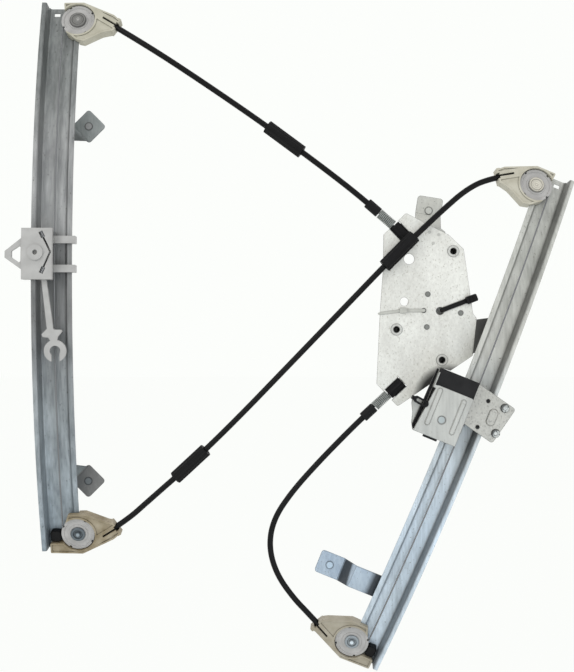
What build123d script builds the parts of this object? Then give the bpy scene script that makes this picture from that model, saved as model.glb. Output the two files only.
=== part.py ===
from build123d import *
import math
import os

# Cable window regulator with two arched rails, in millimetres.
# X runs to the right and Z up as seen from outside the door, and Y runs into the car.
# The origin is the mouth of the drum's drive socket, in the plane where the motor
# and the fixing brackets seat on the door's inner panel (y = 0).

os.makedirs("parts", exist_ok=True)

# Fits
running_fit = 0.06          # radial, pulley on its rivet and drum on its bearing
seat_gap = 0.1              # between fixed curved or arched pieces of one body
moving_gap = 0.5            # between sliding pieces and the rails
fixed_fit = 0.05            # radial, rivet or bush in its hole

# Rails
rail_radius = 950.0         # arch, to the front face of the web
web_depth = -38.0           # y of the web's front face at the middle of a rail
sheet = 1.2
flange_height = 14.0
inner_lip_height = 4.5
bend_radius = 1.6
wall_slope = 0.8
step_slope = 1.2
left_centre = (-364.0, 34.5)
right_centre = (5.0, -102.7)
right_lean = 22.0           # degrees from upright
left_pulley_reach = 260.7   # middle of the rail to each pulley, along the arch
right_pulley_reach = 248.7
left_outer_edge = -35.6     # across the rail, from the line through the pulley centres
left_inner_edge = 1.6
right_outer_edge = -34.0
right_inner_edge = -0.6
outer_lip = 4.6
inner_lip = 5.2
web_past_pulley = 17.9
flange_past_pulley = 15.8
lip_before_pulley = 19.3
ear_reach = 9.0
end_slot = (6.0, 4.0)
end_slot_from_edge = 12.4
end_slot_past_pulley = 11.0

# Cable and pulleys
cable_radius = 0.75
cable_height = 4.5          # centre line above the web
wrap_radius = 15.5
pulley_radius = 16.7
pulley_width = 4.8
groove_gap = 0.35           # between the standing cable and the turning groove
groove_mouth = 3.0
notch_width = 2.4
notch_depth = 1.5
rivet_radius = 4.0
rivet_tail = 1.8

# Pulley housings
housing_floor = 1.8
housing_height = 9.2
pocket_radius = 17.4
housing_wall = 1.7
face_recess = 0.8
socket_turn = 33.0          # degrees between the conduit and the line across the rail
low_right_socket_turn = 28.0
conduit_radius = 2.9
conduit_seat = 20.0         # from the cable's tangent point to the end of the conduit
socket_end = 37.4
socket_half_width = 6.6
slot_width = 2.2            # in the roof of the socket, over the conduit
collar_length = 4.0
collar_past = 1.4
collar_mouth = 2.4
bumper_length = 11.0
bumper_to_pulley = 0.7
bumper_height = 7.6
bumper_past_pulley = 3.0

# Motor plate, drum and bearing
plate_front = -18.0
plate_thickness = 1.5
axis_hole = 4.0
drum_wrap_radius = 26.0
drum_radius = drum_wrap_radius + 1.6
cup_inner_radius = drum_radius + 0.8
housing_radius = cup_inner_radius + 3.0
drum_cable_depth = -12.2    # y of the cables' centre lines at the drum
winding_pitch = 2.4
bearing_radius = 7.0
bearing_flange = 23.6
bearing_bore = 4.6
drive_socket_radius = 5.0
drive_socket_depth = 6.0
drum_floor = 1.2            # closes the drum between its drive socket and its bearing
floor_gap = 0.4
bush_hole = 3.3
bush_shank = 5.0
bush_rim = 5.8
bush_rim_height = 0.8
bush_floor = 2.0
bush_places = ((13.3, 59.8), (-43.5, -18.5), (2.0, -49.0))
dot_circle = 20.8
dot_angles = (126.0, -5.5, 230.4)
dot_radius = 2.7
dot_shank = 1.6
bearing_sheet = 1.5
hub_radius = 9.0
drum_back = -3.6
housing_back = 3.0
winding_turns = 3
ear_width = 9.0
ear_boss = 8.4
spout_radius = 4.1
spout_end = 85.0
bare_start = 10.6
relief_roll = 14.0
wing_up = 88.8
wing_gap = 0.25
wing_length = 36.0
wing_start = 6.0
wing_reach = 24.0
clear_holes = ((-30.9, 52.0, 5.2), (-35.7, 9.4, 4.2), (-16.2, 0.5, 2.4))

# Cable take-up: cap, spring and ferrule, as distances from the drum's tangent points
upper_chain_turn = 133.5    # direction from the drum, degrees from +X towards +Z
upper_bend = 5.5
lower_chain_turn = 223.0
lower_bend = 0.0
cap_start = 76.0
cap_end = 93.8
cap_radius = 7.8
cap_neck = 3.2              # narrower end of the cap, at the spring
cap_step = 1.4
spring_length = 19.6
spring_radius = 5.1
spring_wire = 0.55
spring_turns = 10
spring_end_gap = 0.3
ferrule_length = 15.6
ferrule_radius = 5.1
ferrule_seat = 5.0

# Conduits and the sleeves on them
sleeve_radius = 6.75
sleeve_bore = 3.6
ridge_count = 14
ridge_depth = 0.6

# Brackets and studs
bracket_sheet = 1.5
tab_side = 24.6
tab_corner = 3.2
stud_radius = 3.0
stud_length = 16.0
stud_collar_radius = 3.4    # pressed into the tab, flush with its seat
stud_head_radius = 4.0
stud_head_height = 0.6
upper_tab_centre = (-354.8, left_centre[1] + left_pulley_reach - 106.8)
lower_tab_centre = (-355.2, left_centre[1] - left_pulley_reach + 53.6)
tab_turn = 45.0
tab_foot_length = 22.0
tab_foot_across = (-26.0, -8.0)
tab_foot_back = 30.0
tab_inner_half = 12.5
plate_tab_centre = (-8.8, 102.6)
plate_tab_turn = -9.0
bracket_across = 48.0       # of the right bracket's stud, from the pulley line
bracket_up = -187.0
bracket_below = 11.6
bracket_above = 12.0
bracket_foot = 25.5
plate_tab_width = 26.0
black_head = (31.2, 12.0)
black_tie_width = 4.6
clear_head = (-37.0, 0.5)

# Left carriage, about its own centre
left_carriage_up = 19.0
body_outer = -43.4
body_inner = -13.9
body_half = 24.2
body_front = 19.9
boss_rise = 1.4
boss_bore_depth = 4.0
crossing_height = 6.6
tail_top = (-23.3, -24.5)
tail_middle = 59.0
block_inner = -17.6
arm_width = 7.2
arm_ups = (14.8, -13.3)
arm_bottom = 6.1
arm_top = 9.6
hook_thickness = 3.4
loop_thickness = 3.5
boss_place = (-29.9, 1.2)
boss_radius = 7.6
boss_bore = 2.4
nipple_radius = 2.0
nipple_length = 6.4
nipple_places = ((-23.6, 18.4), (-23.2, -15.8))
crossing = (-15.4, 1.8)
nipple_height = 16.4
cable_channel = 1.9         # width of the slots for the cable's ends
cable_end_share = 0.88      # of the way from a nipple to the crossing
tail_bottom = 10.2
tail_thickness = 2.5
tail_half = 2.4
clip_outer = 10.8
clip_inner = 5.2
ring_centre = (-13.4, -92.6)
ring_mouth = 8.0

# Right carriage
carrier_back = 15.5
carrier_sheet = 1.5
carrier_hole = 2.0
rivet_places = ((-44.0, 26.9), (-44.8, 1.1))
carrier_holes = ((-26.7, 27.3), (-26.5, 0.3))
pad_place = (-35.9, 14.1)
liner_low = -20.0
glass_slot = 4.6
liner_wall = 2.0
jaw_sheet = 1.5
holder_low = 0.5            # of the cable holder, up the rail
holder_high = 33.5
holder_middle = 17.0
holder_across = -15.2
holder_cable = 10.5
holder_nipples = (9.0, 25.0)
jaw_inner_low = 31.4
jaw_inner_high = 25.9
jaw_outer = -11.2
jaw_half = 23.5
liner_top = 39.8
liner_inner = 27.6
slot_floor = -15.5
rib_height = 1.1
rib_half_width = 2.6
dimple_place = (9.8, -6.1)
dimple_radius = 4.0
dimple_depth = 0.6
cheek_outer = 28.9
cheek_top = 35.5


# ---------------------------------------------------------------- placing helpers
def along(distance):
    """Carry a shape from the middle of a rail to a distance up its arch."""
    turn = math.degrees(distance / rail_radius)
    return Pos(0, 0, -rail_radius) * Rot(-turn, 0, 0) * Pos(0, 0, rail_radius)


def on_left(shape):
    """Place a shape drawn as (across, up, out of the web) on the left rail."""
    seat = Plane(origin=(left_centre[0], web_depth, left_centre[1]), x_dir=(1, 0, 0), z_dir=(0, -1, 0))
    return seat.location * shape


def on_right(shape):
    """Place a shape drawn for the left hand on the right rail, mirrored and leaning."""
    lean = math.radians(right_lean)
    seat = Plane(
        origin=(right_centre[0], web_depth, right_centre[1]),
        x_dir=(math.cos(lean), 0, -math.sin(lean)),
        z_dir=(0, -1, 0),
    )
    return seat.location * mirror(shape, about=Plane.YZ)


def place_on(side, shape):
    if side == "left":
        return on_left(shape)
    return on_right(shape)


def rail_end(shape, reach, top):
    """Carry a shape drawn about a pulley's centre, outward along +Y, to a rail's end."""
    if top:
        return along(reach) * shape
    return along(-reach) * mirror(shape, about=Plane.XZ)


def seen_from_front(depth):
    """The plane y = depth, drawn with X to the right and Z up."""
    return Plane(origin=(0, depth, 0), x_dir=(1, 0, 0), z_dir=(0, -1, 0))


def slab(sketch, front, back):
    """A sketch in X and Z made solid between two depths."""
    return extrude(seen_from_front(back) * sketch, back - front)


def block(low, high):
    """A box between two corners."""
    size = [high[i] - low[i] for i in range(3)]
    return Pos(*low) * Box(*size, align=(Align.MIN, Align.MIN, Align.MIN))


def rod(start, finish, radius):
    """A round bar between two points."""
    line = Vector(finish) - Vector(start)
    return extrude(Plane(origin=start, z_dir=line) * Circle(radius), line.length)


def polygon(*corners):
    return make_face(Polyline(*corners, close=True))


def rounded(face, radius):
    return fillet(face.vertices(), radius)


def write(name, shape):
    export_step(shape, "parts/" + name + ".step")


# ---------------------------------------------------------------- rails
def sheet_section(corners):
    """A bent sheet's section, from the line of its front face, left to right."""
    line = FilletPolyline(*corners, radius=bend_radius)
    return make_face(offset(line, amount=sheet, side=Side.RIGHT).edges())


def arch(section, low, high):
    """A section swept along the rail's arch between two distances."""
    start = along(high) * (Plane.XZ * section)
    return revolve(start, Axis((0, 0, -rail_radius), (1, 0, 0)), math.degrees((high - low) / rail_radius))


def rail(outer_edge, inner_edge, reach):
    """Outer flange and web end to end, with the inner lip between two flat ears."""
    wall_top = outer_edge + outer_lip
    step_top = inner_edge - inner_lip
    join = step_top - step_slope - bend_radius
    wall = [(outer_edge, flange_height), (wall_top, flange_height), (wall_top + wall_slope, 0), (join, 0)]
    step = [(join, 0), (step_top - step_slope, 0), (step_top, inner_lip_height), (
        inner_edge, inner_lip_height
    )]
    lip_end = reach - lip_before_pulley
    web_end = reach + web_past_pulley
    shape = arch(sheet_section(wall), -web_end, web_end)
    shape += arch(sheet_section(step), -lip_end, lip_end)
    ear = Pos((join + ear_reach) / 2, -sheet / 2) * Rectangle(ear_reach - join, sheet)
    shape += arch(ear, lip_end, web_end)
    shape += arch(ear, -web_end, -lip_end)
    slot_across = outer_edge + end_slot_from_edge
    slot = Pos(slot_across, end_slot_past_pulley) * Box(*end_slot, 8 * sheet)
    flange_trim = block(
        (outer_edge - sheet, flange_past_pulley, bend_radius), (
            wall_top + 2 * sheet, 2 * web_past_pulley, 2 * flange_height
        )
    )
    hole = Cylinder(rivet_radius + fixed_fit, 8 * sheet)
    shape -= rail_end(slot, reach, True)
    for top in (True, False):
        shape -= rail_end(flange_trim, reach, top)
        shape -= rail_end(hole, reach, top)
    return shape


# ---------------------------------------------------------------- pulleys and their housings
def socket_line(turn):
    """Where the cable leaves the pulley towards its conduit, and which way it goes."""
    angle = math.radians(turn)
    leave = Vector(wrap_radius * math.sin(angle), wrap_radius * math.cos(angle), cable_height)
    heading = Vector(math.cos(angle), -math.sin(angle), 0)
    return leave, heading


def housing_outline(turn, arm_edge):
    """Outline about the pulley: across, then outward. The bottom ones have a bumper arm."""
    leave, heading = socket_line(turn)
    side = Vector(-heading.Y, heading.X, 0) * socket_half_width
    end = leave + heading * socket_end
    socket = [(36.6, 4.6), ((end + side).X, (end + side).Y), ((end - side).X, (end - side).Y)]
    if arm_edge is None:
        low_side = [(25.0, -15.6), (7.3, -25.2), (-0.3, -23.3), (-10.5, -15.0)]
        return [(-14.7, 18.8), (5.4, 19.1)] + socket + low_side
    arm = [(-12.6, -10.0), (-13.6, 9.6), (arm_edge, 9.8), (arm_edge, 20.4)]
    return arm + [(4.3, 21.0)] + socket + [(31.5, -13.4), (8.5, -22.8), (-8.4, -22.1)]


def pulley_housing(turn, arm_edge, inner_edge):
    leave, heading = socket_line(turn)
    outline = rounded(polygon(*housing_outline(turn, arm_edge)), 1.2)
    along_socket = Plane(origin=(leave.X, leave.Y, 0), x_dir=heading, z_dir=(0, 0, 1))
    collar_half = socket_half_width + collar_past
    collar_middle = socket_end - collar_length / 2
    collar = along_socket * Pos(collar_middle, 0) * RectangleRounded(collar_length, 2 * collar_half, 0.8)
    shape = extrude(outline, housing_height) + extrude(collar, housing_height)
    strip = along_socket * Pos(25, 0) * Rectangle(50, 2 * conduit_radius + 2 * housing_wall)
    recess = offset(outline, -housing_wall) - Circle(pocket_radius + housing_wall) - strip
    shape -= Pos(0, 0, housing_height - face_recess) * extrude(recess, housing_height)
    shape -= Pos(0, 0, housing_floor) * extrude(Circle(pocket_radius), housing_height)
    shape -= Cylinder(rivet_radius + seat_gap, 20)
    start = leave + heading * conduit_seat
    shape -= rod(leave, start, 2 * cable_radius)
    shape -= rod(start, leave + heading * (socket_end + 5), conduit_radius + seat_gap)
    slot = Pos((conduit_seat + socket_end) / 2, 0) * Rectangle(socket_end - conduit_seat, slot_width)
    mouth = Pos(socket_end, 0) * Rectangle(2 * collar_mouth, 2 * conduit_radius + 2 * seat_gap)
    opening = along_socket * (slot + mouth)
    shape -= Pos(0, 0, cable_height) * extrude(opening, housing_height)
    lip_space = block(
        (-20, -30, -1), (inner_edge + seat_gap, 0.4 - lip_before_pulley, inner_lip_height + 0.4)
    )
    return shape - lip_space


def pulley():
    low = cable_height - pulley_width / 2
    high = cable_height + pulley_width / 2
    floor = wrap_radius - cable_radius - groove_gap
    bore = rivet_radius + running_fit
    section = polygon(
        (bore, low),
        (pulley_radius, low),
        (pulley_radius, cable_height - groove_mouth / 2),
        (floor, cable_height - cable_radius - groove_gap),
        (floor, cable_height + cable_radius + groove_gap),
        (pulley_radius, cable_height + groove_mouth / 2),
        (pulley_radius, high),
        (14.4, high),
        (13.8, high - 0.8),
        (10.2, high - 0.8),
        (9.6, high),
        (bore, high),
    )
    shape = revolve(Plane.XZ * section, Axis.Z)
    for turn in (30, 120, 210, 300):
        notch = Rot(0, 0, turn) * Pos(pulley_radius, 0, cable_height) * Box(
            2 * notch_depth, notch_width, 2 * pulley_width
        )
        shape -= notch
    return shape


def pulley_rivet(head_radius, boss):
    """Turned rivet: formed tail behind the rail's ear, shank, and a broad head in front."""
    seat = cable_height + pulley_width / 2 + 0.2
    tail = -sheet - seat_gap
    points = [(0, tail - rivet_tail), (5.4, tail - rivet_tail), (6.2, tail), (rivet_radius, tail)]
    points += [(rivet_radius, seat), (head_radius, seat), (head_radius, seat + 0.7), (
        head_radius - 0.9, seat + 1.3
    )]
    if boss:
        points += [(4.9, seat + 1.3), (4.4, seat + 0.5), (2.8, seat + 0.5)]
        points += [(2.6, seat + 1.8), (0, seat + 2.0)]
    else:
        points += [(6.0, seat + 1.35), (5.7, seat + 1.05), (5.3, seat + 1.4)]
        points += [(1.3, seat + 1.6), (1.0, seat + 1.2), (0, seat + 1.2)]
    return revolve(Plane.XZ * polygon(*points), Axis.Z)


def bumper(arm_edge):
    """Rubber stop: a rounded block on the web between the flange and the lower pulley."""
    low = arm_edge + 0.3
    high = -pulley_radius - bumper_to_pulley
    outline = Pos((low + high) / 2, bumper_past_pulley) * RectangleRounded(high - low, bumper_length, 2.4)
    shape = extrude(outline, bumper_height)
    top = shape.faces().sort_by(Axis.Z)[-1]
    shape = fillet(top.edges(), 1.4)
    return Pos(0, 0, seat_gap) * shape


def rail_cable(reach, top_turn, low_turn):
    """One cable along the rail, round both pulleys and on to the ends of the conduits."""
    edges = []
    for top, turn in ((True, top_turn), (False, low_turn)):
        leave, heading = socket_line(turn)
        outlet = leave + heading * conduit_seat
        middle = math.radians((180 + 90 - turn) / 2)
        over = (wrap_radius * math.cos(middle), wrap_radius * math.sin(middle), cable_height)
        beside = (-wrap_radius, 0, cable_height)
        pieces = [Line(outlet, leave), ThreePointArc(leave, over, beside)]
        edges += [rail_end(piece, reach, top) for piece in pieces]
    run = Edge.make_circle(
        rail_radius + cable_height,
        Plane(origin=(-wrap_radius, 0, -rail_radius), x_dir=(0, 0, 1), z_dir=(-1, 0, 0)),
        -math.degrees(reach / rail_radius),
        math.degrees(reach / rail_radius),
    )
    path = Wire([edge for piece in edges for edge in piece.edges()] + [run])
    end = path @ 0
    return sweep(Plane(origin=end, z_dir=path % 0) * Circle(cable_radius), path=path)


# ---------------------------------------------------------------- motor plate and drum
def plate_outline():
    """The pressing's outline seen from the front, clockwise from its peak."""
    left = [(-34.0, 98.0), (8.6, 76.4), (23.8, 62.0), (33.1, -2.7), (36.6, -7.0), (33.0, -44.5)]
    right = [(-42.4, -95.4), (-63.4, -73.0), (-60.2, -4.0), (-57.0, 41.0), (-56.5, 76.5)]
    return rounded(polygon(*left, *right), 2.2)


def right_seat(up):
    """Location on the right rail's web at a distance up its arch, drawn mirrored."""
    lean = math.radians(right_lean)
    seat = Plane(
        origin=(right_centre[0], web_depth, right_centre[1]),
        x_dir=(math.cos(lean), 0, -math.sin(lean)),
        z_dir=(0, -1, 0),
    )
    return seat.location * along(up)


def left_seat(up):
    seat = Plane(origin=(left_centre[0], web_depth, left_centre[1]), x_dir=(1, 0, 0), z_dir=(0, -1, 0))
    return seat.location * along(up)


def quad(points):
    return Face(Wire.make_polygon([Vector(*point) for point in points]))


def slope(first, second):
    """A sheet ruled between two edges, each four corners given in the same order."""
    return loft([quad(first), quad(second)], ruled=True)


def edge_on(location, start, finish, low, high):
    """The four corners of a flat sheet's edge, in a local frame, carried to the row's frame."""
    corners = [(*start, low), (*finish, low), (*finish, high), (*start, high)]
    return [tuple((location * Pos(*corner)).position) for corner in corners]


def motor_plate():
    plate_back = plate_front + plate_thickness
    shape = slab(plate_outline(), plate_front, plate_back)
    bend_top = Vector(-3.0, 0, -55.5)
    bend_low = Vector(-26.5, 0, -84.5)
    shape -= slab(polygon((-3.0, -55.5), (-26.5, -84.5), (-26.5, -90), (11, -61.2), (10.5, -59.7)), -30, -5)
    roll_axis = Plane(origin=(-14.75, plate_back + relief_roll, -70.0), z_dir=bend_low - bend_top)
    roll = Cylinder(relief_roll + plate_thickness, 80) - Cylinder(relief_roll, 80)
    window = slab(
        polygon((-3.0, -55.5), (-26.5, -84.5), (9.5, -60.4)), plate_front, plate_back + relief_roll - 1
    )
    shape += (roll_axis.location * roll) & window
    land_half = wing_length / 2
    behind = -sheet - wing_gap
    land = block((-wing_reach, -land_half, behind - plate_thickness), (-wing_start, land_half, behind))
    shape += right_seat(wing_up) * mirror(land, about=Plane.YZ)
    far = edge_on(
        right_seat(wing_up), (wing_start + 0.6, land_half), (
            wing_start + 0.6, -land_half
        ), behind, behind - plate_thickness
    )
    near = [(35.2, plate_front, -8.6), (
        32.2, plate_front, -42.6
    ), (32.2, plate_back, -42.6), (35.2, plate_back, -8.6)]
    shape += slope(near, far)
    shape -= slab(Circle(axis_hole), -30, -10)
    for x, z in bush_places:
        shape -= slab(Pos(x, z) * Circle(bush_shank + fixed_fit), -30, -10)
    for x, z, radius in clear_holes:
        shape -= slab(Pos(x, z) * Circle(radius), -30, -10)
    for angle in dot_angles:
        shape -= slab(dot_place(angle) * Circle(dot_shank + fixed_fit), -30, -10)
    for side in (upper_chain, lower_chain):
        cut = side(cap_start - 0.8)
        shape -= cut.location * Cylinder(
            cap_radius + 0.6, 60, align=(Align.CENTER, Align.CENTER, Align.MIN)
        )
    return shape


def dot_place(angle):
    return Pos(dot_circle * math.cos(math.radians(angle)), dot_circle * math.sin(math.radians(angle)))


def chain(turn, side, bend, distance):
    """Frame on the straight cable from the drum, with its Z axis pointing to the conduit."""
    heading = Vector(math.cos(math.radians(turn)), 0, math.sin(math.radians(turn)))
    leave = Vector(side * heading.Z, 0, -side * heading.X) * drum_wrap_radius
    origin = leave + Vector(0, drum_cable_depth, 0) + heading * min(distance, cap_end)
    if distance > cap_end:
        bent = math.radians(turn + bend)
        heading = Vector(math.cos(bent), 0, math.sin(bent))
        origin += heading * (distance - cap_end)
    return Plane(origin=origin, x_dir=(0, 1, 0), z_dir=heading)


def upper_chain(distance):
    return chain(upper_chain_turn, 1, upper_bend, distance)


def lower_chain(distance):
    return chain(lower_chain_turn, -1, lower_bend, distance)


def turned(*points):
    """A turned shape about the drum's axis from (radius, depth) corners."""
    frame = Plane(origin=(0, 0, 0), x_dir=(1, 0, 0), z_dir=(0, 1, 0))
    return frame.location * revolve(Plane.XZ * polygon(*points), Axis.Z)


def drum_bearing():
    """Flanged bush riveted behind the plate, on which the drum turns."""
    front = plate_front + plate_thickness + seat_gap
    back = front + bearing_sheet
    end = -drive_socket_depth - drum_floor - floor_gap
    shape = turned(
        (bearing_bore, front), (bearing_flange, front), (bearing_flange, back), (bearing_radius, back),
        (bearing_radius, end), (bearing_bore, end),
    )
    for angle in dot_angles:
        shape -= slab(dot_place(angle) * Circle(dot_shank + fixed_fit), front - 1, back + 1)
    return shape


def bearing_rivets():
    back = plate_front + plate_thickness + seat_gap + bearing_sheet
    shapes = []
    for angle in dot_angles:
        shank = slab(dot_place(angle) * Circle(dot_shank), plate_front - 0.2, back)
        head = slab(dot_place(angle) * Circle(dot_radius), plate_front - 0.5, plate_front - 0.05)
        shapes.append(shank + head)
    return Compound(children=shapes)


def cable_drum():
    """Grooved drum: bearing bore from the front, drive socket from the back, a floor between."""
    front = plate_front + plate_thickness + seat_gap + bearing_sheet + moving_gap
    floor = drum_wrap_radius - cable_radius - fixed_fit
    half = cable_radius + 0.3
    bore = bearing_radius + running_fit
    points = [(bore, front), (drum_radius, front)]
    for turn in range(winding_turns):
        middle = drum_cable_depth + turn * winding_pitch
        points += [(drum_radius, middle - half), (floor, middle - half + 0.1)]
        points += [(floor, middle + half - 0.1), (drum_radius, middle + half)]
    points += [(drum_radius, drum_back), (hub_radius, drum_back), (hub_radius, 0), (drive_socket_radius, 0)]
    points += [(drive_socket_radius, -drive_socket_depth), (0, -drive_socket_depth)]
    points += [(0, -drive_socket_depth - drum_floor), (bore, -drive_socket_depth - drum_floor)]
    shape = turned(*points)
    for angle in range(0, 360, 60):
        window = slab(
            Rot(0, 0, angle) * Pos(16.5, 0) * RectangleRounded(8, 6.5, 2), front - 1, drum_back + 1
        )
        shape -= window
    for angle in range(0, 360, 120):
        key = slab(
            Rot(0, 0, angle) * Pos(drive_socket_radius, 0) * Rectangle(2.4, 1.8), -drive_socket_depth - 1,
            1
        )
        shape -= key
    return shape


def drum_winding():
    """The cable's turns in the drum's grooves, each a ring of six-sided section."""
    rings = []
    for turn in range(winding_turns):
        depth = drum_cable_depth + turn * winding_pitch
        corners = []
        for i in range(6):
            angle = math.pi * i / 3
            corners.append(
                (drum_wrap_radius + cable_radius * math.cos(angle), depth + cable_radius * math.sin(angle))
            )
        rings.append(turned(*corners))
    return Compound(children=rings)


def drum_housing():
    """Moulded cup round the drum, with a spout to each cap and an ear on each motor bush."""
    front = plate_front + plate_thickness + seat_gap
    shape = slab(Circle(housing_radius), front, 0)
    for x, z in bush_places:
        length = math.hypot(x, z)
        turn = math.degrees(math.atan2(z, x))
        arm = Rot(0, 0, turn) * Pos(length / 2, 0) * Rectangle(length, ear_width)
        shape += slab(arm, -housing_back - 2.5, 0)
        shape += slab(Pos(x, z) * Circle(ear_boss), -housing_back - 6.0, 0)
    for side in (upper_chain, lower_chain):
        tube = Cylinder(spout_radius, spout_end, align=(Align.CENTER, Align.CENTER, Align.MIN))
        shape += side(0).location * tube
    shape -= slab(Circle(cup_inner_radius), front - 5, -housing_back)
    shape -= slab(Circle(hub_radius + 0.3), -30, 5)
    for x, z in bush_places:
        shape -= slab(Pos(x, z) * Circle(bush_shank + fixed_fit), -30, 5)
    for side in (upper_chain, lower_chain):
        bore = Cylinder(3 * cable_radius, 2 * spout_end, align=(Align.CENTER, Align.CENTER, Align.CENTER))
        shape -= side(0).location * bore
    return shape


def motor_bushes():
    """Three flanged bushes swaged into the plate, blind at the back, for the motor's screws."""
    shapes = []
    for x, z in bush_places:
        rim = slab(Pos(x, z) * Circle(bush_rim), plate_front - bush_rim_height, plate_front - 0.02)
        shank = slab(Pos(x, z) * Circle(bush_shank), plate_front - bush_rim_height, 0)
        bore = slab(Pos(x, z) * Circle(bush_hole), plate_front - 5, -bush_floor)
        shapes.append(rim + shank - bore)
    return Compound(children=shapes)


# ---------------------------------------------------------------- cable take-up
def on_chain(side, distance, shape):
    return side(distance).location * shape


def ridged(radius, length):
    """A rod with ridges along it, from the origin up its own axis."""
    corners = []
    for i in range(2 * ridge_count):
        reach = radius - (i % 2) * ridge_depth
        angle = math.pi * i / ridge_count
        corners.append((reach * math.cos(angle), reach * math.sin(angle)))
    return extrude(polygon(*corners), length)


def bore_up(radius, start, finish):
    """A round hole up a shape's own axis between two heights."""
    return Pos(0, 0, start) * Cylinder(
        radius, finish - start, align=(Align.CENTER, Align.CENTER, Align.MIN)
    )


def cap(side):
    """Ribbed rubber cap: over the spout on one side, the spring's seat on the other."""
    length = cap_end - cap_start
    body = ridged(cap_radius, length - cap_neck) + bore_up(cap_radius - cap_step, 0, length)
    body -= bore_up(spout_radius + seat_gap, -1, spout_end - cap_start + 0.2)
    body -= bore_up(2.2 * cable_radius, 0, length + 1)
    return on_chain(side, cap_start, body)


def take_up_spring(side):
    """Compression spring between the cap and the ferrule."""
    inner = spring_radius - spring_wire
    free = spring_length - 2 * spring_wire - 2 * spring_end_gap
    coil = Helix(pitch=free / spring_turns, height=free, radius=inner)
    section = Plane(origin=coil @ 0, z_dir=coil % 0) * RegularPolygon(spring_wire, 6)
    shape = sweep(section, path=coil, is_frenet=True)
    return on_chain(side, cap_end + spring_wire + spring_end_gap, shape)


def ferrule(side):
    """Moulded end sleeve that carries the conduit and slides on the spring."""
    body = Cylinder(ferrule_radius, ferrule_length, align=(Align.CENTER, Align.CENTER, Align.MIN))
    body = chamfer(body.edges(), 0.6)
    seat = Pos(0, 0, ferrule_length - ferrule_seat)
    body -= seat * Cylinder(conduit_radius + seat_gap, 20, align=(Align.CENTER, Align.CENTER, Align.MIN))
    body -= Cylinder(2 * cable_radius, 60)
    return on_chain(side, cap_end + spring_length, body)


def bare_cable(side):
    """The cable between the drum's winding and the end of the conduit, in two straight runs."""
    start = side(bare_start).origin
    corner = side(cap_end).origin
    finish = side(cap_end + spring_length + ferrule_length - ferrule_seat - 0.2).origin
    if side is lower_chain:
        return rod(start, finish, cable_radius)
    path = FilletPolyline(start, corner, finish, radius=40)
    return sweep(Plane(origin=start, z_dir=corner - start) * Circle(cable_radius), path=path)


# ---------------------------------------------------------------- conduits
def outlet(side, reach, top, turn, beyond):
    """A point on a conduit's line, from its seat in a pulley housing outward."""
    leave, heading = socket_line(turn)
    point = leave + heading * (conduit_seat + beyond)
    seat = left_seat if side == "left" else right_seat
    across = point.X if side == "left" else -point.X
    up = point.Y if top else -point.Y
    return (seat(reach if top else -reach) * Pos(across, up, point.Z)).position


def tube(route, radius):
    """A cord of straight runs with tangent arcs as large as the runs allow."""
    points = [Vector(*point) for point in route]
    runs = [(points[i + 1] - points[i]).length for i in range(len(points) - 1)]
    radii = []
    for i in range(1, len(points) - 1):
        turn = math.radians((points[i] - points[i - 1]).get_angle(points[i + 1] - points[i]))
        radii.append(0.45 * min(runs[i - 1], runs[i]) / math.tan(turn / 2))
    path = FilletPolyline(*points, radius=radii)
    shape = sweep(Plane(origin=points[0], z_dir=points[1] - points[0]) * Circle(radius), path=path)
    print("length", round(path.length, 1), "radii", [round(value) for value in radii])
    return shape


def ridged_sleeve(before, centre, after, length):
    """Foam or rubber sleeve round a conduit, with ridges along it."""
    heading = (Vector(*after) - Vector(*before)).normalized()
    frame = Plane(origin=Vector(*centre) - heading * (length / 2), z_dir=heading)
    shape = ridged(sleeve_radius, length) - bore_up(sleeve_bore, -1, length + 1)
    return frame.location * shape


# ---------------------------------------------------------------- brackets, studs and ties
def left_bracket(centre, top):
    """Diamond tab on the inner panel's plane, with a strap to a foot behind the web."""
    tab = Pos(*centre) * Rot(0, 0, tab_turn) * RectangleRounded(tab_side, tab_side, tab_corner)
    shape = slab(tab, -bracket_sheet, 0)
    up = centre[1] - left_centre[1]
    way = 1 if top else -1
    foot_up = rail_radius * math.asin(up / rail_radius) - way * tab_foot_back
    back = -sheet - seat_gap - 0.05
    front = (tab_foot_across[0], 0)
    rear = (tab_foot_across[1], 0)
    half = tab_foot_length / 2
    foot = block((tab_foot_across[0], -half, back - bracket_sheet), (tab_foot_across[1], half, back))
    shape += left_seat(foot_up) * foot
    edge = half - 0.4
    far = edge_on(
        left_seat(foot_up), (front[0], way * edge), (rear[0], way * edge), back, back - bracket_sheet
    )
    corner = tab_side / math.sqrt(2) - tab_corner + 0.6
    low = centre[1] - way * 0.6
    tip = centre[1] - way * corner
    near = [
        (centre[0] - corner, -bracket_sheet, low),
        (centre[0] - 0.6, -bracket_sheet, tip),
        (centre[0] - 0.6, 0, tip),
        (centre[0] - corner, 0, low),
    ]
    return shape + slope(near, far) - stud_hole(centre)


def stud_hole(place):
    return slab(Pos(*place) * Circle(stud_collar_radius + fixed_fit), -2 * bracket_sheet, bracket_sheet)


def right_flat(across, up):
    """X and Z of a point given across and up the leaning right rail."""
    lean = math.radians(right_lean)
    x = right_centre[0] - across * math.cos(lean) + up * math.sin(lean)
    return (x, right_centre[1] + across * math.sin(lean) + up * math.cos(lean))


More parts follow.
